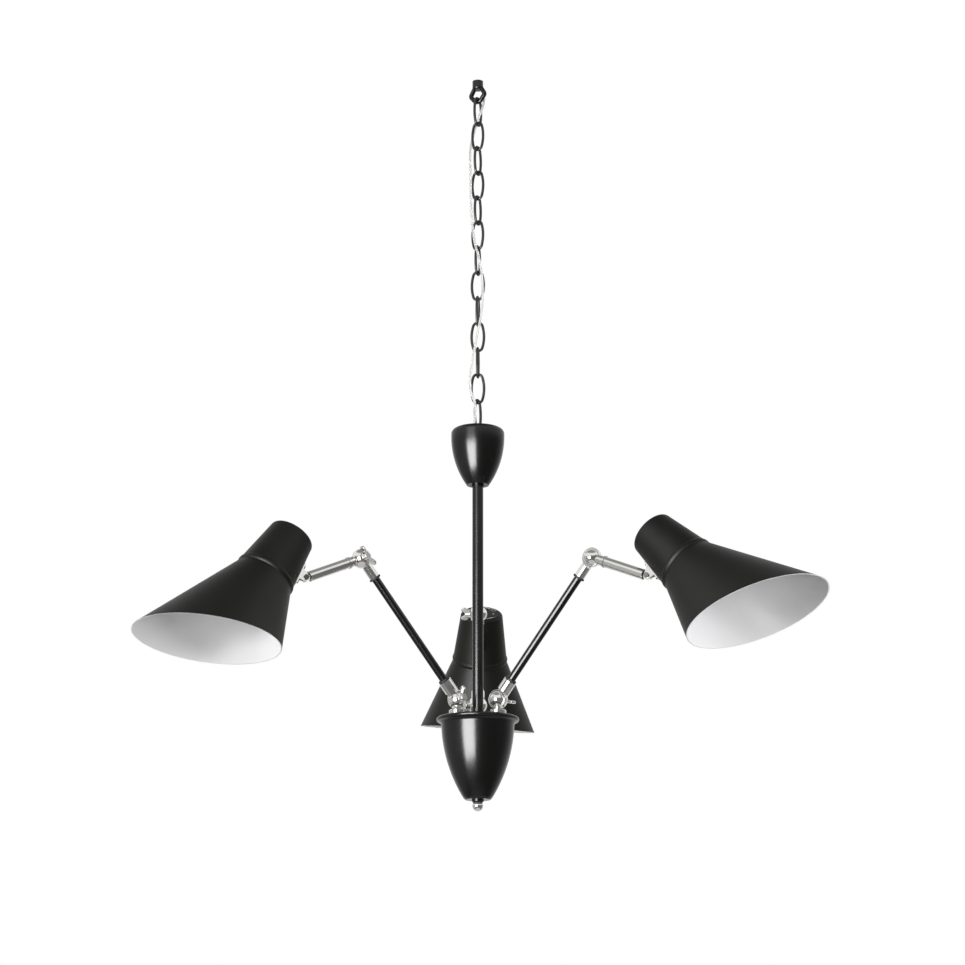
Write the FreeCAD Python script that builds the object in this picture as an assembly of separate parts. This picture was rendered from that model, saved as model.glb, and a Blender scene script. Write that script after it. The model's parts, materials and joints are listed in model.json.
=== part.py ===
import FreeCAD, Part
import math
import os

# Three-arm pendant light: chain, stem between two cups, and three jointed arms with tilting shades.
# Millimetres, +Z up, +Y to the rear. The origin is the middle of the ceiling loop's top face.

V = FreeCAD.Vector
UP = V(0, 0, 1)
ORIGIN = V(0, 0, 0)
# How far the middle of a unit quarter round lies from its corner, along each side
QUARTER = 1 - math.sqrt(0.5)

# Ceiling loop: a threaded neck over a rounded six-sided eye
LOOP_AZ = -31.0
NECK_R = 5.7
NECK_DEPTH = 9.6
NECK_ROUND = 2.2
THREAD_R = 3.46
THREAD_DEPTH = 5.5
LOOP_WIRE_R = 2.4
LOOP_SHOULDER = (3.3, -6.5)
LOOP_CORNER = (8.7, -15.6)
LOOP_FOOT = 2.6
LOOP_CORNER_R = 2.9
WIREWAY_R = 1.4
WIREWAY_REACH = 6.0

# Chain: the first seat is the bottom of the loop's eye, and each link's seat lies one pitch lower
SEAT_Z = -20.68
PITCH = 27.89
WIRE_R = 1.4
LINK_HALF_WIDTH = 6.45
LINK_END_R = 5.0
LINK_GAP = 0.04
LINK_AZIMUTHS = (58, -30, 61, -29, 62, -32, 70, -18, 80, -8, 84, -2, 63)

# Stem eye, upper cup and stem
EYE_WIRE_R = 2.0
EYE_R = 7.0
EYE_AZ = -27.0
HUB_R = 6.8
HUB_BEVEL = 1.8
HUB_TOP = -396.0
HUB_BOTTOM = -414.0
HUB_FLANGE_R = 11.0
HUB_FLANGE_TOP = -402.0
HUB_FLANGE_THICK = 3.0
UPPER_CUP_TOP = -385.0
UPPER_CUP_BOTTOM = -444.0
UPPER_CUP_MOUTH_R = 12.0
UPPER_CUP_SHOULDER_R = 5.0
UPPER_CUP_SIDE_CENTRE = (-63.3, -392.8)
UPPER_CUP_SIDE_R = 90.4
UPPER_CUP_SIDE_END = -441.6
UPPER_CUP_FOOT_R = 11.2
CUP_WALL = 1.2
STEM_R = 5.5
STEM_WALL = 1.2
STEM_TOP = -405.5
STEM_BOTTOM = -694.0
CUP_COLLAR_R = 6.25
CUP_COLLAR_HEIGHT = 1.7

# Lower cup, its cover plate and what they hold
LIP_R = 38.7
LIP_Z = -683.5
LIP_WIRE_R = 2.1
LIP_THROAT = (37.0, -686.8)
LOWER_CUP_SIDE_CENTRE = (-110.1, -683.5)
LOWER_CUP_SIDE_R = 146.25
LOWER_CUP_SIDE_START = -689.5
LOWER_CUP_SIDE_END = -760.5
LOWER_CUP_BOTTOM = -762.4
LOWER_CUP_FOOT_R = 12.4
PLATE_TOP = -682.0
PLATE_THICK = 1.2
PLATE_R = 36.3
NUT_THICK = 5.0
STEM_NUT_R = 9.5
ARM_NUT_R = 7.5
ROD_R = 3.0
ROD_TOP = -684.0
ROD_DEPTH = 2.0
TERMINAL_SIZE = (22.0, 12.0, 10.0)
TERMINAL_Y = -22.0
TERMINAL_HOLE_R = 2.0
TERMINAL_HOLE_SPACING = 6.9
FINIAL_WASHER_R = 5.9
FINIAL_WASHER_EDGE = 1.4
FINIAL_WASHER_BOTTOM = -765.4
FINIAL_R = 5.4
FINIAL_Z = -768.3

# Knuckle joints: two half balls on one pivot, clamped by a wing screw
BALL_R = 9.75
SPLIT_GAP = 0.05
RIM_THICK = 2.6
RIM_ROUND = 0.7
DOME_R = 7.9
DOME_CENTRE = 1.2
FLAT_AT = 8.0
SCREW_R = 2.0
SCREW_BORE_R = 2.1
SCREW_TIP = -6.0
SCREW_HEAD_R = 4.6
SCREW_HEAD_THICK = 1.2
SCREW_BOSS_R = 3.9
SCREW_BOSS_TOP_R = 3.0
SCREW_BOSS_HEIGHT = 5.4
SCREW_BOSS_EDGE = 0.5
WING_THICK = 2.4
WING_EDGE = 0.9
WING_REACH = 11.5
WING_TIP_R = 3.9
WING_TOP = 18.5
FERRULE_START = 10.3
LOWER_FERRULE_R = 6.5
UPPER_FERRULE_R = 5.1
FERRULE_END = 22.3
SOCKET_START = 12.0
BASE_STEM_R = 4.5
BASE_STEM_END = 2.0
FIT = 0.05
COLLAR_R = 8.1
COLLAR_STEP = 0.8
COLLAR_FOOT = 1.8
COLLAR_TOP = -675.5
HEAD_NECK_R = 5.0
HEAD_FLANGE = (14.4, 16.0)
HEAD_FLANGE_R = 5.9
SPIGOT_R = 4.2
SPIGOT_END = 27.0

# Arms: pivot circle in the cover plate, tubes and O-rings
PIVOT_CIRCLE_R = 23.0
PIVOT_Z = -665.24
ARM_LENGTH = 168.4
ARM_TUBE_R = 4.0
ARM_TUBE_WALL = 0.8
RING_R = 5.9
RING_THICK = 2.2
RING_ROUND = 0.8
HEAD_LENGTH = 65.3
HEAD_TUBE_R = 5.25
HEAD_TUBE_WALL = 1.0
HEAD_TUBE_START = 16.3
HEAD_TUBE_SETBACK = 4.5
PLUG_DEPTH = 5.0
PLUG_THICK = 6.0
TONGUE_ROOT = 1.0
TONGUE_THICK = 2.6
TONGUE_R = 3.4
PIVOT_PIN_R = 1.5

# Shade: spun neck and cone, cut off aslant, on a bracket with two ears
NECK_TOP_R = 22.45
NECK_SLOPE = 0.132
NECK_LENGTH = 50.2
CAP_EDGE = 4.0
BEAD_R = 30.2
BEAD_T = 53.2
CONE_START = 55.7
CONE_START_R = 29.4
CONE_SLOPE = 0.402
CONE_END = 180.0
SHADE_WALL = 0.9
MOUTH_T = 137.7
MOUTH_SLOPE = 0.468
VENT_COUNT = 3
VENT_R = 16.2
VENT_WIDTH = 4.6
VENT_HALF_ANGLE = 22.0
VENT_FIRST = 34.0
VENT_HOLE_R = 1.7
VENT_HOLE_AT = 12.0
BRACKET_T = 29.2
BRACKET_OFFSET = 7.1
BRACKET_LENGTH = 22.0
BRACKET_WIDTH = 9.0
BRACKET_THICK = 1.3
EAR_THICK = 1.5
EAR_R = 3.6
EAR_SPREAD = 2.2
PIN_HEAD_R = 2.6
PIN_HEAD_THICK = 1.4
RIVET_R = 2.1
RIVET_HEIGHT = 1.3
RIVET_SEAT = 0.3
RIVET_SPACING = 16.0
HOLDER_R = 13.5
HOLDER_FLANGE_R = 16.0
HOLDER_FLANGE_THICK = 2.0
HOLDER_LENGTH = 44.0
HOLDER_SKIRT = 14.0
HOLDER_SKIRT_R = 14.6
HOLDER_EDGE = 1.0
SOCKET_R = 7.0
SOCKET_DEPTH = 24.0

# Cord: thin and limp, woven through the chain from the loop's neck to the stem eye's flange
CORD_R = 1.25
CORD_TOP_ROUTE = (
    (3.1, 3.95, -4.3),
    (5.5, 6.95, -9.6),
    (6.8, 6.7, -16.5),
    (6.2, 3.0, -24.0),
    (4.7, -0.5, -31.0),
    (2.5, -0.8, -37.4),
    (0.3, 2.3, -42.6),
)
CORD_ROUTE = (
    (0.3, 2.3, -42.6),
    (-2.12, 5.71, -48.32),
    (-5.3, 8.0, -60.4),
    (-7.9, 4.9, -74.0),
    (-8.2, -0.6, -91.0),
    (-7.5, -4.3, -112.0),
    (-7.4, -4.8, -138.0),
    (-6.0, -5.7, -163.0),
    (-3.3, -8.2, -186.0),
    (1.6, -10.4, -203.0),
    (4.2, -9.8, -220.0),
    (5.3, -9.7, -240.0),
    (4.4, -10.4, -261.0),
    (0.9, -10.6, -279.0),
    (-2.8, -9.8, -298.0),
    (-5.8, -8.6, -316.0),
    (-8.2, -8.4, -334.0),
    (-7.9, -9.3, -347.0),
    (-2.9, -9.9, -358.0),
    (-2.6, -9.7, -371.0),
    (-3.7, -8.2, -386.0),
    (-3.7, -8.2, -399.0),
)
GROMMET_R = 1.9

# Poses of the three arms: azimuth, arm tilt, head droop, head roll and shade dip, in degrees
ARMS = {
    "left": (208.7, 39.2, 23.5, 7.5, 56.7),
    "right": (-30.6, 39.2, 22.85, -5.7, 44.4),
    "back": (89.7, 45.4, 23.55, 4.2, 57.3),
}
# How far the wings of the lower and the elbow screw are turned from level, in degrees
WING_TURNS = {
    "left": (-80.0, -46.0),
    "right": (8.0, 35.0),
    "back": (-35.0, 20.0),
}


def unit(azimuth):
    """Horizontal unit vector at an azimuth in degrees."""
    return V(math.cos(math.radians(azimuth)), math.sin(math.radians(azimuth)), 0)


def turned_vector(vector, axis, degrees):
    """A vector turned about an axis."""
    return FreeCAD.Rotation(axis, degrees).multVec(vector)


def placed(shape, origin, x_axis, z_axis):
    """A shape moved so that its own X and Z run along the given axes from the origin given."""
    rotation = FreeCAD.Rotation(x_axis, z_axis.cross(x_axis), z_axis, "ZXY")
    return shape.transformed(FreeCAD.Placement(origin, rotation).toMatrix(), True)


def edges_of(steps):
    """Edges in the XZ plane. A step is a point, or an arc as (middle, end)."""
    edges = []
    here = V(steps[0][0], 0, steps[0][1])
    for step in steps[1:]:
        if isinstance(step[0], tuple):
            middle, end = (V(x, 0, z) for x, z in step)
            edges.append(Part.Arc(here, middle, end).toShape())
            here = end
        else:
            end = V(step[0], 0, step[1])
            edges.append(Part.LineSegment(here, end).toShape())
            here = end
    return edges


def flat_face(*steps):
    """A face in the XZ plane inside a closed outline."""
    return Part.Face(Part.Wire(edges_of(steps + (steps[0],))))


def turned(*steps, sweep=360):
    """A solid turned about Z from a closed outline of radius and height."""
    return flat_face(*steps).revolve(ORIGIN, UP, sweep)


def rod(radius, start, end):
    """A round bar along Z."""
    return Part.makeCylinder(radius, end - start, V(0, 0, start))


def bar(radius, start, end):
    """A round bar along X."""
    return Part.makeCylinder(radius, end - start, V(start, 0, 0), V(1, 0, 0))


def tube(radius, wall, start, end):
    """A round tube along Z."""
    return rod(radius, start, end).cut(rod(radius - wall, start, end))


def hex_nut(half_width, bore, bottom, height):
    """A hexagonal nut on Z."""
    corners = [unit(60 * k) * (half_width / math.cos(math.radians(30))) for k in range(7)]
    body = Part.Face(Part.makePolygon(corners)).extrude(UP * height)
    body.translate(UP * bottom)
    return body.cut(rod(bore, bottom, bottom + height))


def rounded_path(points, radii, closed=False):
    """A wire of straight runs joined by tangent arcs, one radius for each inner point."""
    count = len(points)
    corners = range(count) if closed else range(1, count - 1)
    cuts = {}
    for k in corners:
        before = (points[k - 1] - points[k]).normalize()
        after = (points[(k + 1) % count] - points[k]).normalize()
        half_turn = (math.pi - before.getAngle(after)) / 2
        reach = radii[k] * math.tan(half_turn)
        inset = radii[k] * (1 / math.cos(half_turn) - 1)
        middle = points[k] + (before + after).normalize() * inset
        cuts[k] = (points[k] + before * reach, middle, points[k] + after * reach)
    edges = []
    here = cuts[0][2] if closed else points[0]
    for k in list(range(1, count)) + ([0] if closed else []):
        if k in cuts:
            start, middle, end = cuts[k]
            edges.append(Part.LineSegment(here, start).toShape())
            edges.append(Part.Arc(start, middle, end).toShape())
            here = end
        else:
            edges.append(Part.LineSegment(here, points[k]).toShape())
    return Part.Wire(edges)


def swept(path, radius, start, direction):
    """A round bar swept along a wire that leaves its start in a direction."""
    section = Part.Wire(Part.Circle(start, direction, radius).toShape())
    return path.makePipeShell([section], True, False)


def ceiling_loop():
    """Threaded neck with a wire outlet at its side, and the eye that the chain hangs from."""
    shoulder_x, shoulder_z = LOOP_SHOULDER
    corner_x, corner_z = LOOP_CORNER
    foot_z = SEAT_Z - LOOP_WIRE_R
    points = [
        V(-shoulder_x, 0, shoulder_z),
        V(-corner_x, 0, corner_z),
        V(-LOOP_FOOT, 0, foot_z),
        V(LOOP_FOOT, 0, foot_z),
        V(corner_x, 0, corner_z),
        V(shoulder_x, 0, shoulder_z),
    ]
    path = rounded_path(points, [LOOP_CORNER_R] * len(points))
    eye = swept(path, LOOP_WIRE_R, points[0], points[1] - points[0])
    turn = NECK_ROUND * QUARTER
    neck = turned(
        (0, 0),
        (NECK_R, 0),
        (NECK_R, -NECK_DEPTH + NECK_ROUND),
        ((NECK_R - turn, -NECK_DEPTH + turn), (NECK_R - NECK_ROUND, -NECK_DEPTH)),
        (0, -NECK_DEPTH),
    )
    body = placed(eye, ORIGIN, unit(LOOP_AZ), UP).fuse(neck)
    outlet = V(*CORD_TOP_ROUTE[0])
    direction = (V(*CORD_TOP_ROUTE[1]) - outlet).normalize()
    wireway = Part.makeCylinder(WIREWAY_R, 2 * WIREWAY_REACH, outlet - direction * WIREWAY_REACH, direction)
    return body.cut(rod(THREAD_R, -THREAD_DEPTH, 0)).cut(wireway)


def chain_link(number):
    """An oval link of round wire with gently curved sides, hung at its place in the chain."""
    half_length = (PITCH + LINK_GAP) / 2 + WIRE_R
    end_centre = half_length - LINK_END_R
    side_r = (end_centre**2 + LINK_HALF_WIDTH**2 - LINK_END_R**2) / (2 * (LINK_HALF_WIDTH - LINK_END_R))
    offset = side_r - LINK_HALF_WIDTH
    scale = side_r / (side_r - LINK_END_R)
    tangent_x = offset * scale - offset
    tangent_z = end_centre * scale
    quarter_angle = math.asin(tangent_z / side_r) / 2
    quarter_x = side_r * math.cos(quarter_angle) - offset
    quarter_z = side_r * math.sin(quarter_angle)
    outline = (
        (LINK_HALF_WIDTH, 0),
        ((quarter_x, quarter_z), (tangent_x, tangent_z)),
        ((0, half_length), (-tangent_x, tangent_z)),
        ((-LINK_HALF_WIDTH, 0), (-tangent_x, -tangent_z)),
        ((0, -half_length), (tangent_x, -tangent_z)),
        ((quarter_x, -quarter_z), (LINK_HALF_WIDTH, 0)),
    )
    link = swept(Part.Wire(edges_of(outline)), WIRE_R, V(LINK_HALF_WIDTH, 0, 0), UP)
    centre = V(0, 0, SEAT_Z - PITCH * (number - 0.5))
    return placed(link, centre, unit(LINK_AZIMUTHS[number - 1]), UP)


def stem_eye():
    """Eye on a hub that screws onto the stem, with a flange that carries the cord's grommet."""
    bar_z = SEAT_Z - PITCH * len(LINK_AZIMUTHS) + EYE_WIRE_R
    ring = Part.makeTorus(EYE_R, EYE_WIRE_R, V(0, 0, bar_z - EYE_R), unit(EYE_AZ + 90))
    flange_bottom = HUB_FLANGE_TOP - HUB_FLANGE_THICK
    hub = turned(
        (0, HUB_TOP),
        (HUB_R - HUB_BEVEL, HUB_TOP),
        (HUB_R, HUB_TOP - HUB_BEVEL),
        (HUB_R, HUB_FLANGE_TOP),
        (HUB_FLANGE_R, HUB_FLANGE_TOP),
        (HUB_FLANGE_R, flange_bottom),
        (HUB_R, flange_bottom),
        (HUB_R, HUB_BOTTOM),
        (0, HUB_BOTTOM),
    )
    hub = hub.fuse(ring).cut(rod(STEM_R, HUB_BOTTOM, STEM_TOP))
    seat = V(CORD_ROUTE[-1][0], CORD_ROUTE[-1][1], flange_bottom)
    return hub.cut(Part.makeCylinder(GROMMET_R, HUB_FLANGE_THICK, seat))


def cord_grommet():
    """Rubber bush in the flange, on which the cord goes down into the stem."""
    x, y, top = CORD_ROUTE[-1]
    bottom = HUB_FLANGE_TOP - HUB_FLANGE_THICK
    return Part.makeCylinder(GROMMET_R, top - bottom, V(x, y, bottom))


def side_arc(centre, radius, start, end):
    """An outline's point at the start height of a curved side, and its arc to the end height."""
    heights = (start, (start + end) / 2, end)
    points = [(centre[0] + math.sqrt(radius**2 - (z - centre[1]) ** 2), z) for z in heights]
    return points[0], tuple(points[1:])


def upper_cup():
    """Spun cup with a rounded shoulder, open at the top for the chain and cord."""
    shoulder = UPPER_CUP_TOP - UPPER_CUP_SHOULDER_R
    floor = UPPER_CUP_BOTTOM + CUP_WALL
    outer_top, outer_side = side_arc(UPPER_CUP_SIDE_CENTRE, UPPER_CUP_SIDE_R, shoulder, UPPER_CUP_SIDE_END)
    inner_bottom, inner_side = side_arc(UPPER_CUP_SIDE_CENTRE, UPPER_CUP_SIDE_R - CUP_WALL, floor + CUP_WALL, shoulder)
    turn = UPPER_CUP_SHOULDER_R * QUARTER
    inner_turn = CUP_WALL + (UPPER_CUP_SHOULDER_R - CUP_WALL) * QUARTER
    return turned(
        (UPPER_CUP_MOUTH_R, UPPER_CUP_TOP),
        (outer_top[0] - UPPER_CUP_SHOULDER_R, UPPER_CUP_TOP),
        ((outer_top[0] - turn, UPPER_CUP_TOP - turn), outer_top),
        outer_side,
        (UPPER_CUP_FOOT_R, UPPER_CUP_BOTTOM),
        (STEM_R, UPPER_CUP_BOTTOM),
        (STEM_R, floor),
        (UPPER_CUP_FOOT_R - CUP_WALL / 2, floor),
        inner_bottom,
        inner_side,
        ((outer_top[0] - inner_turn, UPPER_CUP_TOP - inner_turn),
         (outer_top[0] - UPPER_CUP_SHOULDER_R, UPPER_CUP_TOP - CUP_WALL)),
        (UPPER_CUP_MOUTH_R, UPPER_CUP_TOP - CUP_WALL),
    )


def lower_cup():
    """Spun bowl with a rolled lip and a flat foot."""
    floor = LOWER_CUP_BOTTOM + CUP_WALL
    low = LIP_Z - LIP_WIRE_R
    turn = LIP_WIRE_R * QUARTER
    outer_top, outer_side = side_arc(
        LOWER_CUP_SIDE_CENTRE, LOWER_CUP_SIDE_R, LOWER_CUP_SIDE_START, LOWER_CUP_SIDE_END)
    inner_bottom, inner_side = side_arc(
        LOWER_CUP_SIDE_CENTRE, LOWER_CUP_SIDE_R - CUP_WALL, floor + CUP_WALL, LOWER_CUP_SIDE_START)
    return turned(
        (LIP_R - LIP_WIRE_R, LIP_Z),
        ((LIP_R, LIP_Z + LIP_WIRE_R), (LIP_R + LIP_WIRE_R, LIP_Z)),
        ((LIP_R + LIP_WIRE_R - turn, low + turn), (LIP_R, low)),
        (LIP_THROAT, outer_top),
        outer_side,
        (LOWER_CUP_FOOT_R, LOWER_CUP_BOTTOM),
        (ROD_R, LOWER_CUP_BOTTOM),
        (ROD_R, floor),
        (LOWER_CUP_FOOT_R - CUP_WALL / 2, floor),
        inner_bottom,
        inner_side,
    )


def cover_plate():
    """Round plate inside the lip, with a hole for the stem and one for each arm's swivel."""
    plate = tube(PLATE_R, PLATE_R - STEM_R, PLATE_TOP - PLATE_THICK, PLATE_TOP)
    return plate.cut(at_arms(rod(BASE_STEM_R + FIT, PLATE_TOP - PLATE_THICK, PLATE_TOP)))


def arm_collars():
    """Three collars that stand on the cover plate under the knuckles."""
    collar = turned(
        (BASE_STEM_R + FIT, PLATE_TOP),
        (COLLAR_R + COLLAR_STEP, PLATE_TOP),
        (COLLAR_R + COLLAR_STEP, PLATE_TOP + COLLAR_FOOT),
        (COLLAR_R, PLATE_TOP + COLLAR_FOOT + COLLAR_STEP),
        (COLLAR_R, COLLAR_TOP - COLLAR_STEP),
        (COLLAR_R - COLLAR_STEP, COLLAR_TOP),
        (BASE_STEM_R + FIT, COLLAR_TOP),
    )
    return at_arms(collar)


def arm_nuts():
    """Three nuts under the cover plate that hold the knuckle stems."""
    bottom = PLATE_TOP - PLATE_THICK - NUT_THICK
    return at_arms(hex_nut(ARM_NUT_R, BASE_STEM_R + FIT, bottom, NUT_THICK))


def at_arms(shape):
    """Copies of a shape on Z at the three places where the arms stand."""
    copies = []
    for azimuth, *_ in ARMS.values():
        copy = shape.copy()
        copy.translate(unit(azimuth) * PIVOT_CIRCLE_R)
        copies.append(copy)
    return Part.makeCompound(copies)


def terminal_block():
    """Block under the cover plate where the supply cord meets the three arm cables."""
    length, width, height = TERMINAL_SIZE
    corner = V(-length / 2, TERMINAL_Y - width / 2, PLATE_TOP - PLATE_THICK - height)
    block = Part.makeBox(length, width, height, corner)
    for k in (-1, 0, 1):
        start = V(k * TERMINAL_HOLE_SPACING, corner.y, corner.z + height / 2)
        block = block.cut(Part.makeCylinder(TERMINAL_HOLE_R, width, start, V(0, 1, 0)))
    return block


def centre_rod():
    """Threaded rod from a head inside the stem's foot down to the finial."""
    head = rod(STEM_R - STEM_WALL, STEM_BOTTOM, ROD_TOP)
    return head.fuse(rod(ROD_R, FINIAL_WASHER_BOTTOM - ROD_DEPTH, STEM_BOTTOM))


def finial_washer():
    """Dark turned washer between the bowl and the finial."""
    return turned(
        (ROD_R, LOWER_CUP_BOTTOM),
        (FINIAL_WASHER_R, LOWER_CUP_BOTTOM),
        (FINIAL_WASHER_R, FINIAL_WASHER_BOTTOM + FINIAL_WASHER_EDGE),
        (FINIAL_WASHER_R - FINIAL_WASHER_EDGE, FINIAL_WASHER_BOTTOM),
        (ROD_R, FINIAL_WASHER_BOTTOM),
    )


def finial():
    """Chrome ball with a flat top that closes the rod's end."""
    ball = Part.makeSphere(FINIAL_R, V(0, 0, FINIAL_Z))
    ball = ball.common(rod(2 * FINIAL_R, FINIAL_Z - FINIAL_R, FINIAL_WASHER_BOTTOM))
    return ball.cut(rod(ROD_R, FINIAL_WASHER_BOTTOM - ROD_DEPTH, FINIAL_WASHER_BOTTOM))


def split_neck(radius, side):
    """The root of a knuckle half's neck along X, cut at the split plane, on side +1 or -1 of it."""
    reach = 2 * radius
    bottom = SPLIT_GAP if side > 0 else -SPLIT_GAP - reach
    half_space = Part.makeBox(FERRULE_START, 2 * reach, reach, V(0, -reach, bottom))
    return bar(radius, 0, FERRULE_START).common(half_space)


def wing_half(ferrule_r):
    """Half ball on the wing screw's side, with the ferrule that holds the arm tube along X."""
    slope = math.sqrt(BALL_R**2 - FLAT_AT**2)
    half_angle = math.asin(FLAT_AT / BALL_R) / 2
    ball = turned(
        (0, SPLIT_GAP),
        (BALL_R, SPLIT_GAP),
        ((BALL_R * math.cos(half_angle), BALL_R * math.sin(half_angle)), (slope, FLAT_AT)),
        (0, FLAT_AT),
    )
    body = ball.fuse(split_neck(ferrule_r, 1)).fuse(bar(ferrule_r, FERRULE_START, FERRULE_END))
    return body.cut(rod(SCREW_BORE_R, 0, FLAT_AT)).cut(bar(ARM_TUBE_R, SOCKET_START, FERRULE_END))


def dome_half(neck_r):
    """Half ball on the domed side: a rim with a smaller dome, and the root of its stem along X."""
    rim_edge = -SPLIT_GAP - RIM_THICK
    turn = RIM_ROUND * QUARTER
    dome_drop = -rim_edge - DOME_CENTRE
    dome_start_r = math.sqrt(DOME_R**2 - dome_drop**2)
    half_angle = (math.asin(dome_drop / DOME_R) + math.pi / 2) / 2
    dome_middle = (DOME_R * math.cos(half_angle), -DOME_CENTRE - DOME_R * math.sin(half_angle))
    ball = turned(
        (0, -SPLIT_GAP),
        (BALL_R, -SPLIT_GAP),
        (BALL_R, rim_edge + RIM_ROUND),
        ((BALL_R - turn, rim_edge + turn), (BALL_R - RIM_ROUND, rim_edge)),
        (dome_start_r, rim_edge),
        (dome_middle, (0, -DOME_CENTRE - DOME_R)),
    )
    return ball.fuse(split_neck(neck_r, -1)).cut(rod(SCREW_R + FIT, SCREW_TIP - SPLIT_GAP, 0))


def knuckle_base():
    """Domed half with the round stem that turns in the collar."""
    reach = PIVOT_Z - PLATE_TOP + PLATE_THICK + NUT_THICK + BASE_STEM_END
    return dome_half(BASE_STEM_R).fuse(bar(BASE_STEM_R, FERRULE_START, reach))


def elbow_head():
    """Domed half with a flange and the spigot that the head tube turns on."""
    flange_start, flange_end = HEAD_FLANGE
    body = dome_half(HEAD_NECK_R).fuse(bar(HEAD_NECK_R, FERRULE_START, flange_start))
    body = body.fuse(bar(HEAD_FLANGE_R, flange_start, flange_end))
    return body.fuse(bar(SPIGOT_R, flange_end, SPIGOT_END))


def wing_screw():
    """Screw along Z with a round head and two rounded wings."""
    head_bottom = FLAT_AT + SPLIT_GAP
    head_top = head_bottom + SCREW_HEAD_THICK
    boss_top = head_top + SCREW_BOSS_HEIGHT
    stem = turned(
        (0, SCREW_TIP),
        (SCREW_R, SCREW_TIP),
        (SCREW_R, head_bottom),
        (SCREW_HEAD_R, head_bottom),
        (SCREW_HEAD_R, head_top),
        (SCREW_BOSS_R, head_top),
        (SCREW_BOSS_TOP_R, boss_top - SCREW_BOSS_EDGE),
        (SCREW_BOSS_TOP_R - SCREW_BOSS_EDGE, boss_top),
        (0, boss_top),
    )
    tip_x = WING_REACH - WING_TIP_R
    tip_z = WING_TOP - WING_TIP_R
    wing = flat_face(
        (0, head_top),
        (SCREW_BOSS_TOP_R, head_top),
        (tip_x, tip_z - WING_TIP_R),
        ((WING_REACH, tip_z), (tip_x, WING_TOP)),
        (SCREW_BOSS_TOP_R - SCREW_BOSS_EDGE, boss_top - SCREW_BOSS_EDGE),
        (0, boss_top - SCREW_BOSS_EDGE),
    )
    wing = wing.extrude(V(0, WING_THICK, 0))
    wing.translate(V(0, -WING_THICK / 2, 0))
    rims = [e for e in wing.Edges if e.BoundBox.YLength < FIT and e.BoundBox.XMax > SCREW_BOSS_R]
    wing = wing.makeFillet(WING_EDGE, rims)
    other = wing.mirror(ORIGIN, V(1, 0, 0))
    return stem.fuse(wing).fuse(other)


def arm_rings():
    """Two rubber rings where the arm tube enters its ferrules, along X from the lower pivot."""
    turn = RING_ROUND * QUARTER
    ring = turned(
        (ARM_TUBE_R, 0),
        (RING_R - RING_ROUND, 0),
        ((RING_R - turn, turn), (RING_R, RING_ROUND)),
        (RING_R, RING_THICK - RING_ROUND),
        ((RING_R - turn, RING_THICK - turn), (RING_R - RING_ROUND, RING_THICK)),
        (ARM_TUBE_R, RING_THICK),
    )
    low = placed(ring, V(FERRULE_END, 0, 0), UP, V(1, 0, 0))
    high = placed(ring, V(ARM_LENGTH - FERRULE_END - RING_THICK, 0, 0), UP, V(1, 0, 0))
    return Part.makeCompound([low, high])


def arm_tube():
    """Straight black tube between the two ferrules, along X from the lower pivot."""
    length = ARM_LENGTH - SOCKET_START
    return bar(ARM_TUBE_R, SOCKET_START, length).cut(bar(ARM_TUBE_R - ARM_TUBE_WALL, SOCKET_START, length))


def head_tube():
    """Chrome tube along X from the elbow, with a tongue for the shade's pivot across Z."""
    end = HEAD_LENGTH - HEAD_TUBE_SETBACK
    bore = HEAD_TUBE_R - HEAD_TUBE_WALL
    body = bar(HEAD_TUBE_R, HEAD_TUBE_START, end).cut(bar(bore, HEAD_TUBE_START, end))
    plug = bar(bore, end - PLUG_DEPTH - PLUG_THICK, end - PLUG_DEPTH)
    root = end - PLUG_DEPTH - TONGUE_ROOT
    tongue = Part.makeBox(
        HEAD_LENGTH - root, 2 * TONGUE_R, TONGUE_THICK, V(root, -TONGUE_R, -TONGUE_THICK / 2))
    eye = rod(TONGUE_R, -TONGUE_THICK / 2, TONGUE_THICK / 2)
    eye.translate(V(HEAD_LENGTH, 0, 0))
    hole = rod(PIVOT_PIN_R + FIT, -TONGUE_THICK, TONGUE_THICK)
    hole.translate(V(HEAD_LENGTH, 0, 0))
    return body.fuse(plug).fuse(tongue).fuse(eye).cut(hole)


def shade_form(inset):
    """The shade's turned outline as a solid on Z, drawn in by an inset."""
    slant = math.hypot(1, CONE_SLOPE) * inset
    edge_r = NECK_TOP_R + NECK_SLOPE * CAP_EDGE - inset
    turn = (CAP_EDGE - inset) * QUARTER
    neck_end_r = NECK_TOP_R + NECK_SLOPE * NECK_LENGTH - inset
    return turned(
        (0, inset),
        (edge_r - CAP_EDGE + inset, inset),
        ((edge_r - turn, inset + turn), (edge_r, CAP_EDGE)),
        (neck_end_r, NECK_LENGTH),
        ((BEAD_R - inset, BEAD_T), (CONE_START_R - slant, CONE_START)),
        (CONE_START_R + CONE_SLOPE * (CONE_END - CONE_START) - slant, CONE_END),
        (0, CONE_END),
    )


def shade():
    """Spun shade on Z from its cap, longer towards X, with vents in the cap."""
    body = shade_form(0.0).cut(shade_form(SHADE_WALL))
    size = 2 * CONE_END
    mouth = Part.makeBox(size, size, size, V(-size / 2, -size / 2, 0))
    body = body.cut(placed(mouth, V(0, 0, MOUTH_T), V(1, 0, MOUTH_SLOPE).normalize(),
                           V(-MOUTH_SLOPE, 0, 1).normalize()))
    for k in range(VENT_COUNT):
        angle = VENT_FIRST + 360 / VENT_COUNT * k
        body = body.cut(vent_slot(angle)).cut(vent_hole(angle - 180 / VENT_COUNT, VENT_HOLE_AT, VENT_HOLE_R))
    return body


def vent_hole(angle, at, radius):
    """A round cutter through the cap, at an angle and a distance from the middle."""
    hole = rod(radius, -SHADE_WALL, 2 * SHADE_WALL)
    hole.translate(unit(angle) * at)
    return hole


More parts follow.
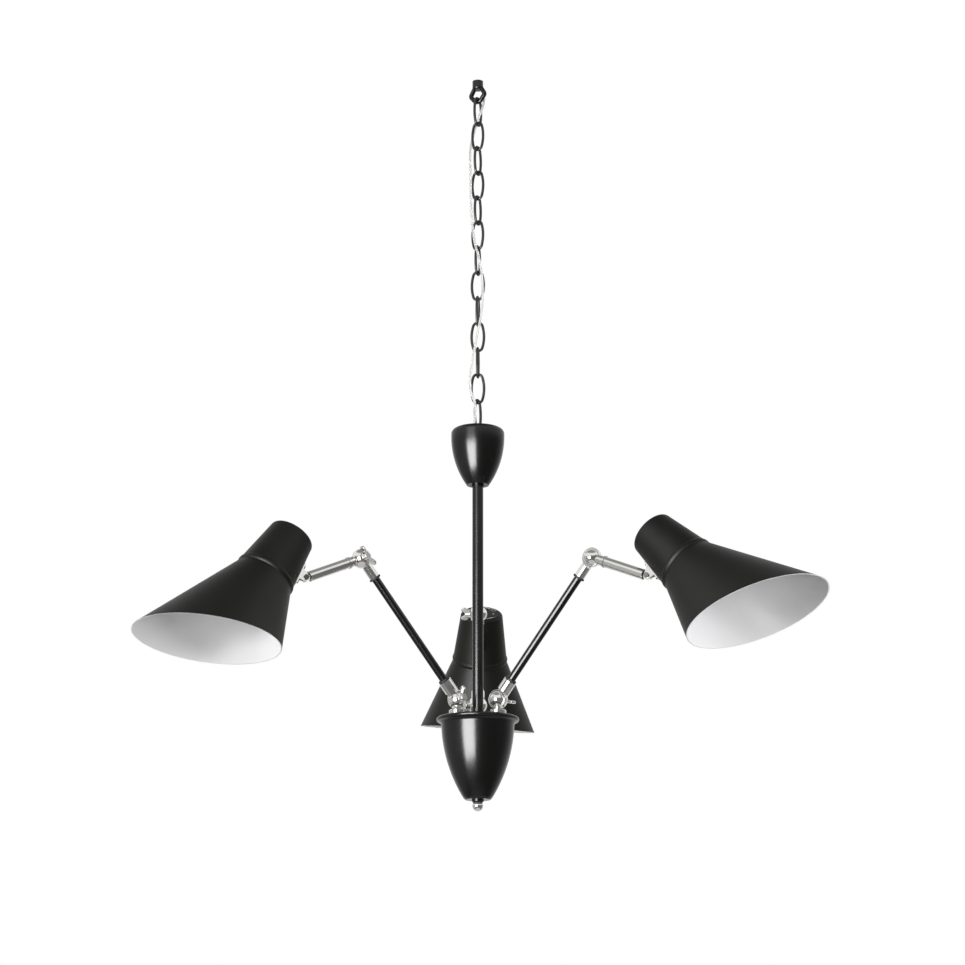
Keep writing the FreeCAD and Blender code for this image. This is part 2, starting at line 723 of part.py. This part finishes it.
def vent_slot(angle):
    """A kidney-shaped cutter through the cap, centred at an angle."""
    half_width = VENT_WIDTH / 2
    slot = turned(
        (VENT_R - half_width, -SHADE_WALL),
        (VENT_R + half_width, -SHADE_WALL),
        (VENT_R + half_width, 2 * SHADE_WALL),
        (VENT_R - half_width, 2 * SHADE_WALL),
        sweep=2 * VENT_HALF_ANGLE,
    )
    slot.rotate(ORIGIN, UP, angle - VENT_HALF_ANGLE)
    for end in (-1, 1):
        slot = slot.fuse(vent_hole(angle + end * VENT_HALF_ANGLE, VENT_R, half_width))
    return slot


def neck_radius(t):
    """Outer radius of the shade's neck at a distance below the cap."""
    return NECK_TOP_R + NECK_SLOPE * t


def neck_shell(inset, thickness, start, end):
    """A turned shell that lies on the shade's neck."""
    return turned(
        (neck_radius(start) + inset, start),
        (neck_radius(start) + inset + thickness, start),
        (neck_radius(end) + inset + thickness, end),
        (neck_radius(end) + inset, end),
    )


def shade_bracket():
    """Strip on the short side of the neck, with two ears round the head tube's tongue."""
    start = BRACKET_T - BRACKET_LENGTH / 2
    strip = neck_shell(0, BRACKET_THICK, start, start + BRACKET_LENGTH)
    block = Part.makeBox(BEAD_R, BRACKET_WIDTH, BRACKET_LENGTH, V(-BEAD_R, -BRACKET_WIDTH / 2, start))
    strip = strip.common(block)
    pivot_x = -neck_radius(BRACKET_T) - BRACKET_OFFSET
    root_x = -neck_radius(BRACKET_T) - BRACKET_THICK / 2
    ears = []
    for side in (-1, 1):
        near = side * (TONGUE_THICK / 2 + FIT)
        far = side * (TONGUE_THICK / 2 + FIT + EAR_THICK)
        plate = flat_face(
            (root_x, BRACKET_T - EAR_R - EAR_SPREAD),
            (root_x, BRACKET_T + EAR_R + EAR_SPREAD),
            (pivot_x, BRACKET_T + EAR_R),
            ((pivot_x - EAR_R, BRACKET_T), (pivot_x, BRACKET_T - EAR_R)),
        )
        ear = plate.extrude(V(0, far - near, 0))
        ear.translate(V(0, near, 0))
        ears.append(ear)
    hole = Part.makeCylinder(PIVOT_PIN_R, BRACKET_WIDTH, V(pivot_x, -BRACKET_WIDTH / 2, BRACKET_T), V(0, 1, 0))
    return strip.fuse(ears[0]).fuse(ears[1]).cut(hole).cut(shade_form(0.0))


def bracket_screws():
    """Pivot pin with two heads, and the two rivets that hold the strip to the neck."""
    pivot_x = -neck_radius(BRACKET_T) - BRACKET_OFFSET
    half = TONGUE_THICK / 2 + FIT + EAR_THICK
    pin = Part.makeCylinder(PIVOT_PIN_R, 2 * half, V(pivot_x, -half, BRACKET_T), V(0, 1, 0))
    for side in (-1, 1):
        head = Part.makeCylinder(PIN_HEAD_R, PIN_HEAD_THICK, V(pivot_x, side * half, BRACKET_T), V(0, side, 0))
        pin = pin.fuse(head)
    rivets = []
    for side in (-1, 1):
        t = BRACKET_T + side * RIVET_SPACING / 2
        out = V(-1, 0, -NECK_SLOPE).normalize()
        seat = V(-neck_radius(t) - BRACKET_THICK, 0, t) - out * RIVET_SEAT
        head = Part.makeCylinder(RIVET_R, RIVET_HEIGHT, seat, out)
        rivets.append(head.cut(neck_shell(0, BRACKET_THICK, 0.0, NECK_LENGTH)))
    return Part.makeCompound([pin] + rivets)


def lampholder():
    """Bulb holder under the cap, on Z from the cap."""
    top = SHADE_WALL
    skirt_start = HOLDER_LENGTH - HOLDER_SKIRT
    return turned(
        (0, top),
        (HOLDER_FLANGE_R, top),
        (HOLDER_FLANGE_R, top + HOLDER_FLANGE_THICK),
        (HOLDER_R, top + HOLDER_FLANGE_THICK),
        (HOLDER_R, skirt_start),
        (HOLDER_SKIRT_R, skirt_start + HOLDER_EDGE),
        (HOLDER_SKIRT_R, HOLDER_LENGTH - HOLDER_EDGE),
        (HOLDER_SKIRT_R - HOLDER_EDGE, HOLDER_LENGTH),
        (SOCKET_R, HOLDER_LENGTH),
        (SOCKET_R, HOLDER_LENGTH - SOCKET_DEPTH),
        (0, HOLDER_LENGTH - SOCKET_DEPTH),
    )


def cord_tube(name, route):
    """A free stretch of cord: straight runs joined by arcs as large as the runs allow."""
    points = [V(*p) for p in route]
    radii = [0.0] * len(points)
    for k in range(1, len(points) - 1):
        before = points[k] - points[k - 1]
        after = points[k + 1] - points[k]
        half_turn = before.getAngle(after) / 2
        radii[k] = 0.45 * min(before.Length, after.Length) / math.tan(half_turn)
    path = rounded_path(points, radii)
    solid = swept(path, CORD_R, points[0], points[1] - points[0])
    expected = math.pi * CORD_R**2 * path.Length
    print(f"{name}: length {path.Length:.1f}, volume {solid.Volume:.1f} of {expected:.1f}, least radius "
          f"{min(radii[1:-1]):.1f}, radii", [round(r, 1) for r in radii[1:-1]])
    return solid


def arm_parts(side):
    """Every piece of one arm in its photographed pose, by node name."""
    azimuth, tilt, droop, roll, dip = ARMS[side]
    lower_turn, elbow_turn = WING_TURNS[side]
    out = unit(azimuth)
    across = UP.cross(out)
    pivot = out * PIVOT_CIRCLE_R + UP * PIVOT_Z
    along = turned_vector(UP, across, tilt)
    elbow = pivot + along * ARM_LENGTH
    head = turned_vector(out, across, droop)
    swing = elbow + head * HEAD_LENGTH
    pin_axis = turned_vector(across, head, roll)
    axis = turned_vector(turned_vector(out, across, dip), head, roll)
    long_side = turned_vector(turned_vector(UP, across, dip), head, roll)
    cap = swing - axis * BRACKET_T + long_side * (neck_radius(BRACKET_T) + BRACKET_OFFSET)
    print(side, "pivot", text(pivot), "elbow", text(elbow), "swing", text(swing), "cap", text(cap))
    print(side, "head", text(head), "pin", text(pin_axis), "axis", text(axis), "long side", text(long_side))
    return {
        "knuckle_base": placed(knuckle_base(), pivot, UP * -1, across),
        "arm_lower_socket": placed(wing_half(LOWER_FERRULE_R), pivot, along, across),
        "arm_tube": placed(arm_tube(), pivot, along, across),
        "arm_rings": placed(arm_rings(), pivot, along, across),
        "arm_upper_socket": placed(wing_half(UPPER_FERRULE_R), elbow, along * -1, across),
        "lower_wing_screw": placed(wing_screw(), pivot, turned_vector(out, across, lower_turn), across),
        "elbow_head": placed(elbow_head(), elbow, head, across),
        "elbow_wing_screw": placed(wing_screw(), elbow, turned_vector(out, across, elbow_turn), across),
        "head_tube": placed(head_tube(), elbow, head, pin_axis),
        "shade_bracket": placed(shade_bracket(), cap, long_side, axis),
        "bracket_screws": placed(bracket_screws(), cap, long_side, axis),
        "shade": placed(shade(), cap, long_side, axis),
        "lampholder": placed(lampholder(), cap, long_side, axis),
    }


def text(vector):
    """A vector as short text."""
    return f"({vector.x:.5f}, {vector.y:.5f}, {vector.z:.5f})"


def main():
    os.makedirs("parts", exist_ok=True)
    collar_bottom = UPPER_CUP_BOTTOM - CUP_COLLAR_HEIGHT
    nut_bottom = PLATE_TOP - PLATE_THICK - NUT_THICK
    parts = {
        "ceiling_loop": ceiling_loop(),
        "top_link": chain_link(1),
        "second_link": chain_link(2),
        "chain": Part.makeCompound([chain_link(k) for k in range(3, len(LINK_AZIMUTHS) + 1)]),
        "stem_eye": stem_eye(),
        "cord_grommet": cord_grommet(),
        "upper_cup": upper_cup(),
        "cup_collar": tube(CUP_COLLAR_R, CUP_COLLAR_R - STEM_R, collar_bottom, UPPER_CUP_BOTTOM),
        "stem_tube": tube(STEM_R, STEM_WALL, STEM_BOTTOM, STEM_TOP),
        "cover_plate": cover_plate(),
        "stem_nut": hex_nut(STEM_NUT_R, STEM_R, nut_bottom, NUT_THICK),
        "arm_collars": arm_collars(),
        "arm_nuts": arm_nuts(),
        "terminal_block": terminal_block(),
        "centre_rod": centre_rod(),
        "lower_cup": lower_cup(),
        "finial_washer": finial_washer(),
        "finial": finial(),
        "cord_top": cord_tube("cord_top", CORD_TOP_ROUTE),
        "cord": cord_tube("cord", CORD_ROUTE),
    }
    for side in ARMS:
        for name, shape in arm_parts(side).items():
            parts[f"{side}_{name}"] = shape
    for name, shape in parts.items():
        if not shape.isValid() or not shape.Solids:
            print("check the shape of", name)
        print(f"{name}: {len(shape.Solids)} solids, {shape.Volume:.0f} mm3")
        shape.exportStep(f"parts/{name}.step")
    print(len(parts), "nodes")


main()
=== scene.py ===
import json
import math

import bmesh
import bpy
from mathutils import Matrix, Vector

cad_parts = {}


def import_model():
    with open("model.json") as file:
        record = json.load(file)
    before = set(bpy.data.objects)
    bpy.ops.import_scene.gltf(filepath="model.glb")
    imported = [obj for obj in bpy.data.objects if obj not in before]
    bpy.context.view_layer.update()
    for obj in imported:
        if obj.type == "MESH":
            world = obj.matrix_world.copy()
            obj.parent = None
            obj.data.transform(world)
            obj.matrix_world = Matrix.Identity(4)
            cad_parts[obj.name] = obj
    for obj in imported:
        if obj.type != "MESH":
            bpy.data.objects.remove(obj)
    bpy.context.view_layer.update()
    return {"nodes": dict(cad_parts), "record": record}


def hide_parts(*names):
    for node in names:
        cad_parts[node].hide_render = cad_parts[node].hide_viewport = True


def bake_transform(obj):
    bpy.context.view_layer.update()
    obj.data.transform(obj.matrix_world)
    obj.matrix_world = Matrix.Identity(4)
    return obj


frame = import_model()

# Metres, in the CAD part's frame: the lamp hangs from the origin, and the photograph looks along +Y.
MM_PER_M = 1000

# Camera, solved from the chain, the cups and the arms
IMAGE_WIDTH_PX = 965
SENSOR_WIDTH_MM = 36.0
FOCAL_PX = 2340.5
AXIS_X_PX = 477.8
CAMERA_PLACE = (0.0, -2.2902, -1.0594)
CAMERA_PITCH_DEG = 15.11

# Cord: the points of the two routes in millimetres, repeated from the part
CORD_DIAMETER = 0.0025
CORD_TOP_ROUTE_MM = (
    (3.1, 3.95, -4.3),
    (5.5, 6.95, -9.6),
    (6.8, 6.7, -16.5),
    (6.2, 3.0, -24.0),
    (4.7, -0.5, -31.0),
    (2.5, -0.8, -37.4),
    (0.3, 2.3, -42.6),
)
CORD_ROUTE_MM = (
    (0.3, 2.3, -42.6),
    (-2.12, 5.71, -48.32),
    (-5.3, 8.0, -60.4),
    (-7.9, 4.9, -74.0),
    (-8.2, -0.6, -91.0),
    (-7.5, -4.3, -112.0),
    (-7.4, -4.8, -138.0),
    (-6.0, -5.7, -163.0),
    (-3.3, -8.2, -186.0),
    (1.6, -10.4, -203.0),
    (4.2, -9.8, -220.0),
    (5.3, -9.7, -240.0),
    (4.4, -10.4, -261.0),
    (0.9, -10.6, -279.0),
    (-2.8, -9.8, -298.0),
    (-5.8, -8.6, -316.0),
    (-8.2, -8.4, -334.0),
    (-7.9, -9.3, -347.0),
    (-2.9, -9.9, -358.0),
    (-2.6, -9.7, -371.0),
    (-3.7, -8.2, -386.0),
    (-3.7, -8.2, -399.0),
)
CORD_SIDES = 20
ROUTE_STEPS = 12  # steps of the spline for each of its points

# Finishes by the record's material slot. tones: the darkest and the lightest base colour. roughness: the lowest
# and the highest. grain: scale, detail and height in metres of the fine bump. clouds: scale of the slow change
# of tone and roughness. The rest are the shader's own inputs.
FINISHES = {
    # Satin lacquer on spun and drawn metal: a smooth sheen with faint orange peel
    "black_metal": {
        "name": "black_lacquer", "tones": ((0.003, 0.003, 0.003), (0.006, 0.006, 0.0055)),
        "roughness": (0.21, 0.25), "grain": (420.0, 3.0, 0.0000015), "clouds": 26.0,
        "IOR": 1.5, "Specular IOR Level": 0.5},
    # Lacquered wire of the chain, a little worn
    "black_chain": {
        "name": "chain_black", "tones": ((0.010, 0.010, 0.010), (0.024, 0.022, 0.020)),
        "roughness": (0.28, 0.42), "grain": (650.0, 4.0, 0.00004), "clouds": 90.0,
        "IOR": 1.5, "Specular IOR Level": 0.6},
    # Chrome with a trace of turning marks and handling
    "chrome": {
        "name": "chrome", "Base Color": (0.95, 0.94, 0.91, 1),
        "roughness": (0.10, 0.17), "grain": (240.0, 2.0, 0.000001), "clouds": 60.0, "Metallic": 0.92},
    # Darkened steel of the pivot pins and rivets
    "dark_steel": {
        "name": "dark_steel", "tones": ((0.07, 0.07, 0.07), (0.16, 0.155, 0.15)),
        "roughness": (0.22, 0.38), "grain": (500.0, 3.0, 0.00002), "clouds": 120.0, "Metallic": 1.0},
    # Zinc-plated hidden fasteners, with the plating's faint cloud
    "zinc": {
        "name": "zinc", "tones": ((0.52, 0.52, 0.50), (0.70, 0.70, 0.66)),
        "roughness": (0.28, 0.46), "grain": (300.0, 5.0, 0.00003), "clouds": 45.0, "Metallic": 1.0},
    # Matt rubber of the rings and the cord's bush
    "black_rubber": {
        "name": "rubber", "tones": ((0.008, 0.008, 0.008), (0.022, 0.022, 0.021)),
        "roughness": (0.5, 0.7), "grain": (1200.0, 5.0, 0.00005), "clouds": 80.0},
    # Moulded plastic of the lampholders and the terminal block
    "white_plastic": {
        "name": "white_plastic", "tones": ((0.75, 0.74, 0.70), (0.81, 0.80, 0.77)),
        "roughness": (0.34, 0.46), "grain": (380.0, 4.0, 0.00003), "clouds": 30.0},
    # Milky clear insulation of the cord
    "clear_pvc": {
        "name": "clear_pvc", "tones": ((0.88, 0.88, 0.85), (0.94, 0.94, 0.93)),
        "roughness": (0.26, 0.36), "grain": (260.0, 3.0, 0.000008), "clouds": 70.0,
        "IOR": 1.45, "Transmission Weight": 0.45},
}

# Shades: slightly warm black powder paint outside, and white enamel on the lining and the mouth's edge
SHADE_SLOT = "shade_black"
SHADE_FINISH = {
    "roughness": (0.44, 0.52), "grain": (900.0, 4.0, 0.000005), "clouds": 18.0,
    "IOR": 1.5, "Specular IOR Level": 0.28}
SHADE_BLACKS = ((0.004, 0.004, 0.0032), (0.0065, 0.0065, 0.0052))
SHADE_WHITES = ((0.78, 0.775, 0.79), (0.83, 0.83, 0.83))
LINING_OUT = -0.15  # a face of the lining looks away from the axis by less than this
EDGE_DOWN = 0.85  # the mouth's edge looks along the axis by more than this

# Floor: height below the ceiling loop, radius, and where it fades from opaque to clear
FLOOR_Z = -2.4
FLOOR_R = 6.0
FLOOR_SIDES = 96
FLOOR_FADE = (1.2, 3.2)
FLOOR_FINISH = {
    "name": "floor", "Base Color": (0.80, 0.80, 0.79, 1),
    "roughness": (0.65, 0.75), "grain": (30.0, 3.0, 0.0001), "clouds": 2.0}

# Noise that all finishes share
GRAIN_ROUGHNESS = 0.6
CLOUD_DETAIL = 5.0
CLOUD_ROUGHNESS = 0.55
CLOUD_RANGE = (0.35, 0.65)  # the part of the clouds' noise that the change runs over

# Sockets of a colour Mix node, which has others of the same names
MIX_FACTOR = 0
MIX_LOW = 6
MIX_HIGH = 7
MIX_RESULT = 2

# Room that gloss and metal show: a white wall behind the lamp that darkens round to the front, a paler wall on
# the left, and bands from straight down (0) over level (0.5) to straight up (1) with their brightness
WALL_LEVEL = 0.9
WALL_START = -0.6
WALL_POWER = 2.4
LEFT_WALL = 0.40
LEFT_WALL_EDGE = (0.6, 0.95)
ROOM_BANDS = ((0.0, 0.5), (0.08, 0.5), (0.15, 0.08), (0.60, 0.08), (0.65, 0.8), (0.86, 0.8), (0.92, 0.2),
              (1.0, 0.2))

# Backdrop to the camera, and even light on matt surfaces
BACKDROP = 1.0
SOFT_LIGHT = 0.145

# Softboxes at the front left that show in reflections only. Metal has its own, because the one for lacquer
# would burn it out.
SOFTBOX_PLACE = (-0.81, -1.44, -0.90)
SOFTBOX_TARGET = (0.0, 0.0, -0.90)
SOFTBOX_SIZE = (1.15, 1.14)
SOFTBOX_POWER = 80.0
METAL_SOFTBOX_POWER = 12.0
UPPER_PLACE = (-0.81, -1.44, 0.03)
UPPER_TARGET = (0.0, 0.0, -0.25)
UPPER_SIZE = (0.9, 0.7)
UPPER_POWER = 3.5

# Lamps that light matt surfaces and show in no reflection: two at the front, and one on each side
FRONT_TARGET = (0.0, 0.0, -0.65)
FRONT_SIZE = (2.4, 0.8)
FRONT_PLACE = (0.0, -2.6, 0.1)
FRONT_POWER = 24.0
LOW_PLACE = (0.0, -2.6, -1.25)
LOW_POWER = 18.0
SIDE_PLACE = (1.3, -0.35, -0.86)
SIDE_TARGET = (0.2, -0.1, -0.62)
SIDE_SIZE = (0.4, 0.3)
SIDE_POWER = 12.5


def camera():
    """Camera at the photograph's place, looking up along +Y."""
    data = bpy.data.cameras.new("camera")
    data.sensor_fit = "HORIZONTAL"
    data.sensor_width = SENSOR_WIDTH_MM
    data.lens = FOCAL_PX * SENSOR_WIDTH_MM / IMAGE_WIDTH_PX
    data.shift_x = (IMAGE_WIDTH_PX / 2 - AXIS_X_PX) / IMAGE_WIDTH_PX
    place = bpy.data.objects.new("camera", data)
    place.location = CAMERA_PLACE
    place.rotation_euler = (math.radians(90 + CAMERA_PITCH_DEG), 0, 0)
    bpy.context.scene.collection.objects.link(place)
    bpy.context.scene.camera = place


class Nodes:
    """A node tree being written."""

    def __init__(self, tree):
        self.tree = tree

    def add(self, kind, inputs=(), **settings):
        """Makes a node. Its inputs are given by name or number, as another node's output or a value."""
        node = self.tree.nodes.new("ShaderNode" + kind)
        for name, value in settings.items():
            setattr(node, name, value)
        for name, value in dict(inputs).items():
            if isinstance(value, bpy.types.NodeSocket):
                self.join(value, node.inputs[name])
            else:
                node.inputs[name].default_value = value
        return node

    def join(self, output, target):
        self.tree.links.new(output, target)

    def math(self, operation, *values):
        return self.add("Math", enumerate(values), operation=operation).outputs["Value"]

    def vector(self, operation, *values):
        """A vector made of vectors."""
        return self.add("VectorMath", enumerate(values), operation=operation).outputs["Vector"]

    def number(self, operation, *values):
        """A number made of vectors."""
        return self.add("VectorMath", enumerate(values), operation=operation).outputs["Value"]

    def mix(self, factor, low, high):
        """A colour between two colours, by a factor from 0 to 1."""
        inputs = {MIX_FACTOR: factor, MIX_LOW: low, MIX_HIGH: high}
        return self.add("Mix", inputs, data_type="RGBA").outputs[MIX_RESULT]

    def between(self, factor, tones):
        """A colour between two tones, by a factor from 0 to 1."""
        return self.mix(factor, *((*tone, 1) for tone in tones))


def material(name, roughness, grain, clouds, tones=None, **inputs):
    """A material of one Principled shader, with fine bump and slow clouds of roughness and tone.

    Returns the material, its node tree, its shader's inputs, the place on the object and the clouds.
    """
    made = bpy.data.materials.new(name)
    made.use_nodes = True
    shader = made.node_tree.nodes["Principled BSDF"].inputs
    for key, value in inputs.items():
        shader[key].default_value = value
    nodes = Nodes(made.node_tree)
    place = nodes.add("TexCoord").outputs["Object"]
    scale, detail, height = grain
    fine = nodes.add("TexNoise", {
        "Vector": place, "Scale": scale, "Detail": detail, "Roughness": GRAIN_ROUGHNESS})
    bump = nodes.add("Bump", {"Height": fine.outputs["Fac"], "Distance": height, "Strength": 1.0})
    nodes.join(bump.outputs["Normal"], shader["Normal"])
    noise = nodes.add("TexNoise", {
        "Vector": place, "Scale": clouds, "Detail": CLOUD_DETAIL, "Roughness": CLOUD_ROUGHNESS})
    slow = noise.outputs["Fac"]
    spread = nodes.add("MapRange", {
        "Value": slow, "From Min": CLOUD_RANGE[0], "From Max": CLOUD_RANGE[1],
        "To Min": roughness[0], "To Max": roughness[1]})
    nodes.join(spread.outputs["Result"], shader["Roughness"])
    if tones:
        nodes.join(nodes.between(slow, tones), shader["Base Color"])
    return made, nodes, shader, place, slow


def shade_paint(side):
    """A shade's paint: black outside, and white on the lining and the mouth's edge."""
    cap, axis = shade_axis(side)
    made, nodes, shader, place, slow = material(side + "_shade_paint", **SHADE_FINISH)
    normal = nodes.add("TexCoord").outputs["Normal"]
    arm = nodes.vector("SUBTRACT", place, cap)
    reach = nodes.number("DOT_PRODUCT", arm, axis)
    along = nodes.add("VectorMath", {0: axis, "Scale": reach}, operation="SCALE").outputs["Vector"]
    outward = nodes.vector("NORMALIZE", nodes.vector("SUBTRACT", arm, along))
    lining = nodes.math("LESS_THAN", nodes.number("DOT_PRODUCT", normal, outward), LINING_OUT)
    edge = nodes.math("GREATER_THAN", nodes.number("DOT_PRODUCT", normal, axis), EDGE_DOWN)
    black, white = (nodes.between(slow, tones) for tones in (SHADE_BLACKS, SHADE_WHITES))
    nodes.join(nodes.mix(nodes.math("MAXIMUM", lining, edge), black, white), shader["Base Color"])
    return made


def shade_axis(side):
    """The middle of a shade's cap and the direction of its axis, from the lampholder's socket mount."""
    mount = next(m for m in frame["record"]["mounts"] if m["name"] == side + "_lamp_socket")
    axis = Vector(mount["axis"])
    corners = frame["nodes"][side + "_lampholder"].data.vertices
    start = min(v.co.dot(axis) for v in corners)
    middle = Vector(mount["pos_m"])
    return middle + axis * (start - middle.dot(axis)), axis


def paint(obj, made):
    """Gives an object one material on every face."""
    obj.data.materials.clear()
    obj.data.materials.append(made)


def finishes():
    """Paints every CAD node with the material of its slot in the record, and returns the materials by slot."""
    by_slot = {slot: material(**finish)[0] for slot, finish in FINISHES.items()}
    for part in frame["record"]["subparts"]:
        name, slot = part["node"], part["material_slot"]
        made = shade_paint(name.removesuffix("_shade")) if slot == SHADE_SLOT else by_slot[slot]
        paint(frame["nodes"][name], made)
    return by_slot


def route_points(name, route_mm):
    """Points read from a smooth spline with a route's points as its control points."""
    curve = bpy.data.curves.new(name + "_route", "CURVE")
    curve.dimensions = "3D"
    spline = curve.splines.new("NURBS")
    spline.points.add(len(route_mm) - 1)
    for point, place in zip(spline.points, route_mm):
        point.co = (*(Vector(place) / MM_PER_M), 1)
    spline.order_u = 3
    spline.use_endpoint_u = True
    spline.resolution_u = ROUTE_STEPS
    holder = bpy.data.objects.new(name + "_route", curve)
    line = bpy.data.meshes.new_from_object(holder)
    points = [v.co.copy() for v in line.vertices]
    bpy.data.objects.remove(holder)
    bpy.data.meshes.remove(line)
    bpy.data.curves.remove(curve)
    return points


def tube_mesh(name, points, radius, sides):
    """A closed round tube along points, with its sections kept from twisting."""
    mesh = bmesh.new()
    rings = []
    side = Vector((1, 0, 0))
    for k, point in enumerate(points):
        before = points[max(k - 1, 0)]
        after = points[min(k + 1, len(points) - 1)]
        along = (after - before).normalized()
        side = (side - along * side.dot(along)).normalized()
        up = along.cross(side)
        turns = [2 * math.pi * n / sides for n in range(sides)]
        rings.append([mesh.verts.new(point + (side * math.cos(t) + up * math.sin(t)) * radius) for t in turns])
    for a, b in zip(rings, rings[1:]):
        for n in range(sides):
            mesh.faces.new((a[n], a[(n + 1) % sides], b[(n + 1) % sides], b[n]))
    mesh.faces.new(reversed(rings[0]))
    mesh.faces.new(rings[-1])
    data = bpy.data.meshes.new(name)
    mesh.to_mesh(data)
    mesh.free()
    for face in data.polygons:
        face.use_smooth = len(face.vertices) == 4
    obj = bpy.data.objects.new(name, data)
    bpy.context.scene.collection.objects.link(obj)
    return obj


def cord(name, route_mm, node, made):
    """One free stretch of the cord, drawn as a round tube along its route in place of its CAD tube."""
    points = route_points(name, route_mm)
    piece = tube_mesh(name, points, CORD_DIAMETER / 2, CORD_SIDES)
    paint(piece, made)
    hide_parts(node)
    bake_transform(piece)


def world():
    """White to the camera, the room to gloss and metal, and even soft light to matt surfaces."""
    made = bpy.data.worlds.new("studio")
    made.use_nodes = True
    made.node_tree.nodes.clear()
    nodes = Nodes(made.node_tree)
    direction = nodes.add("SeparateXYZ", {"Vector": nodes.add("TexCoord").outputs["Generated"]}).outputs
    back = nodes.add("MapRange", {"Value": direction["Y"], "From Min": WALL_START, "From Max": 1.0})
    wall = nodes.math("MULTIPLY", nodes.math("POWER", back.outputs["Result"], WALL_POWER), WALL_LEVEL)
    left = nodes.add("MapRange", {
        "Value": direction["X"], "From Min": -LEFT_WALL_EDGE[0], "From Max": -LEFT_WALL_EDGE[1],
        "To Max": LEFT_WALL}, interpolation_type="SMOOTHSTEP")
    height = nodes.add("MapRange", {"Value": direction["Z"], "From Min": -1.0, "From Max": 1.0})
    bands = nodes.add("ValToRGB", {"Fac": height.outputs["Result"]})
    stops = bands.color_ramp.elements
    for place, brightness in ROOM_BANDS[1:-1]:
        stops.new(place)
    for stop, (place, brightness) in zip(stops, ROOM_BANDS):
        stop.position = place
        stop.color = (brightness, brightness, brightness, 1)
    walls = nodes.math("MAXIMUM", wall, left.outputs["Result"])
    room = nodes.math("MAXIMUM", walls, bands.outputs["Color"])
    ray = nodes.add("LightPath").outputs
    lit = nodes.add("Mix", {"Factor": ray["Is Diffuse Ray"], "A": room, "B": SOFT_LIGHT})
    seen = nodes.add("Mix", {"Factor": ray["Is Camera Ray"], "A": lit.outputs["Result"], "B": BACKDROP})
    sky = nodes.add("Background", {"Strength": seen.outputs["Result"], "Color": (1, 1, 1, 1)})
    nodes.add("OutputWorld", {"Surface": sky.outputs["Background"]})
    bpy.context.scene.world = made


def area_lamp(name, place, target, size, power):
    """A rectangular soft light that the camera doesn't see."""
    data = bpy.data.lights.new(name, "AREA")
    data.shape = "RECTANGLE"
    data.size, data.size_y = size
    data.energy = power
    lamp = bpy.data.objects.new(name, data)
    lamp.location = place
    lamp.rotation_mode = "QUATERNION"
    lamp.rotation_quaternion = (Vector(target) - Vector(place)).to_track_quat("-Z", "Y")
    lamp.visible_camera = False
    bpy.context.scene.collection.objects.link(lamp)
    return lamp


def softbox(name, place, target, size, power, objects):
    """A lamp that shows in the reflections of these objects only."""
    lamp = area_lamp(name, place, target, size, power)
    lamp.visible_diffuse = False
    group = bpy.data.collections.new(name + "_receivers")
    for obj in objects:
        group.objects.link(obj)
    lamp.light_linking.receiver_collection = group


def matt_light(name, place, target, size, power):
    """A lamp that lights matt surfaces and shows in no reflection."""
    area_lamp(name, place, target, size, power).visible_glossy = False


def lamps(metal):
    """The studio's lamps, for metal of this material and everything else."""
    pieces = [obj for obj in bpy.context.scene.objects if obj.type == "MESH"]
    polished = [obj for obj in pieces if obj.data.materials[0] == metal]
    others = [obj for obj in pieces if obj not in polished]
    softbox("softbox", SOFTBOX_PLACE, SOFTBOX_TARGET, SOFTBOX_SIZE, SOFTBOX_POWER, others)
    softbox("metal_softbox", SOFTBOX_PLACE, SOFTBOX_TARGET, SOFTBOX_SIZE, METAL_SOFTBOX_POWER, polished)
    softbox("upper_softbox", UPPER_PLACE, UPPER_TARGET, UPPER_SIZE, UPPER_POWER, others)
    matt_light("front", FRONT_PLACE, FRONT_TARGET, FRONT_SIZE, FRONT_POWER)
    matt_light("low_front", LOW_PLACE, FRONT_TARGET, FRONT_SIZE, LOW_POWER)
    for name, turn in (("left_side", -1), ("right_side", 1)):
        place, target = ((turn * x, y, z) for x, y, z in (SIDE_PLACE, SIDE_TARGET))
        matt_light(name, place, target, SIDE_SIZE, SIDE_POWER)


def floor():
    """Pale round floor under the lamp that fades into the white far off."""
    data = bpy.data.meshes.new("floor")
    mesh = bmesh.new()
    bmesh.ops.create_circle(mesh, cap_ends=True, segments=FLOOR_SIDES, radius=FLOOR_R)
    mesh.to_mesh(data)
    mesh.free()
    obj = bpy.data.objects.new("floor", data)
    obj.location = (0, 0, FLOOR_Z)
    bpy.context.scene.collection.objects.link(obj)
    made, nodes, shader, place, slow = material(**FLOOR_FINISH)
    fade = nodes.add("MapRange", {
        "Value": nodes.number("LENGTH", place), "From Min": FLOOR_FADE[0], "From Max": FLOOR_FADE[1],
        "To Min": 1.0, "To Max": 0.0}, interpolation_type="SMOOTHSTEP")
    nodes.join(fade.outputs["Result"], shader["Alpha"])
    paint(obj, made)
    obj.visible_glossy = False
    obj.visible_diffuse = False


bpy.context.scene.view_settings.view_transform = "Standard"
camera()
materials = finishes()
cord("supply_cord_top", CORD_TOP_ROUTE_MM, "cord_top",
     materials["clear_pvc"])
cord("supply_cord", CORD_ROUTE_MM, "cord",
     materials["clear_pvc"])
world()
lamps(materials["chrome"])
floor()
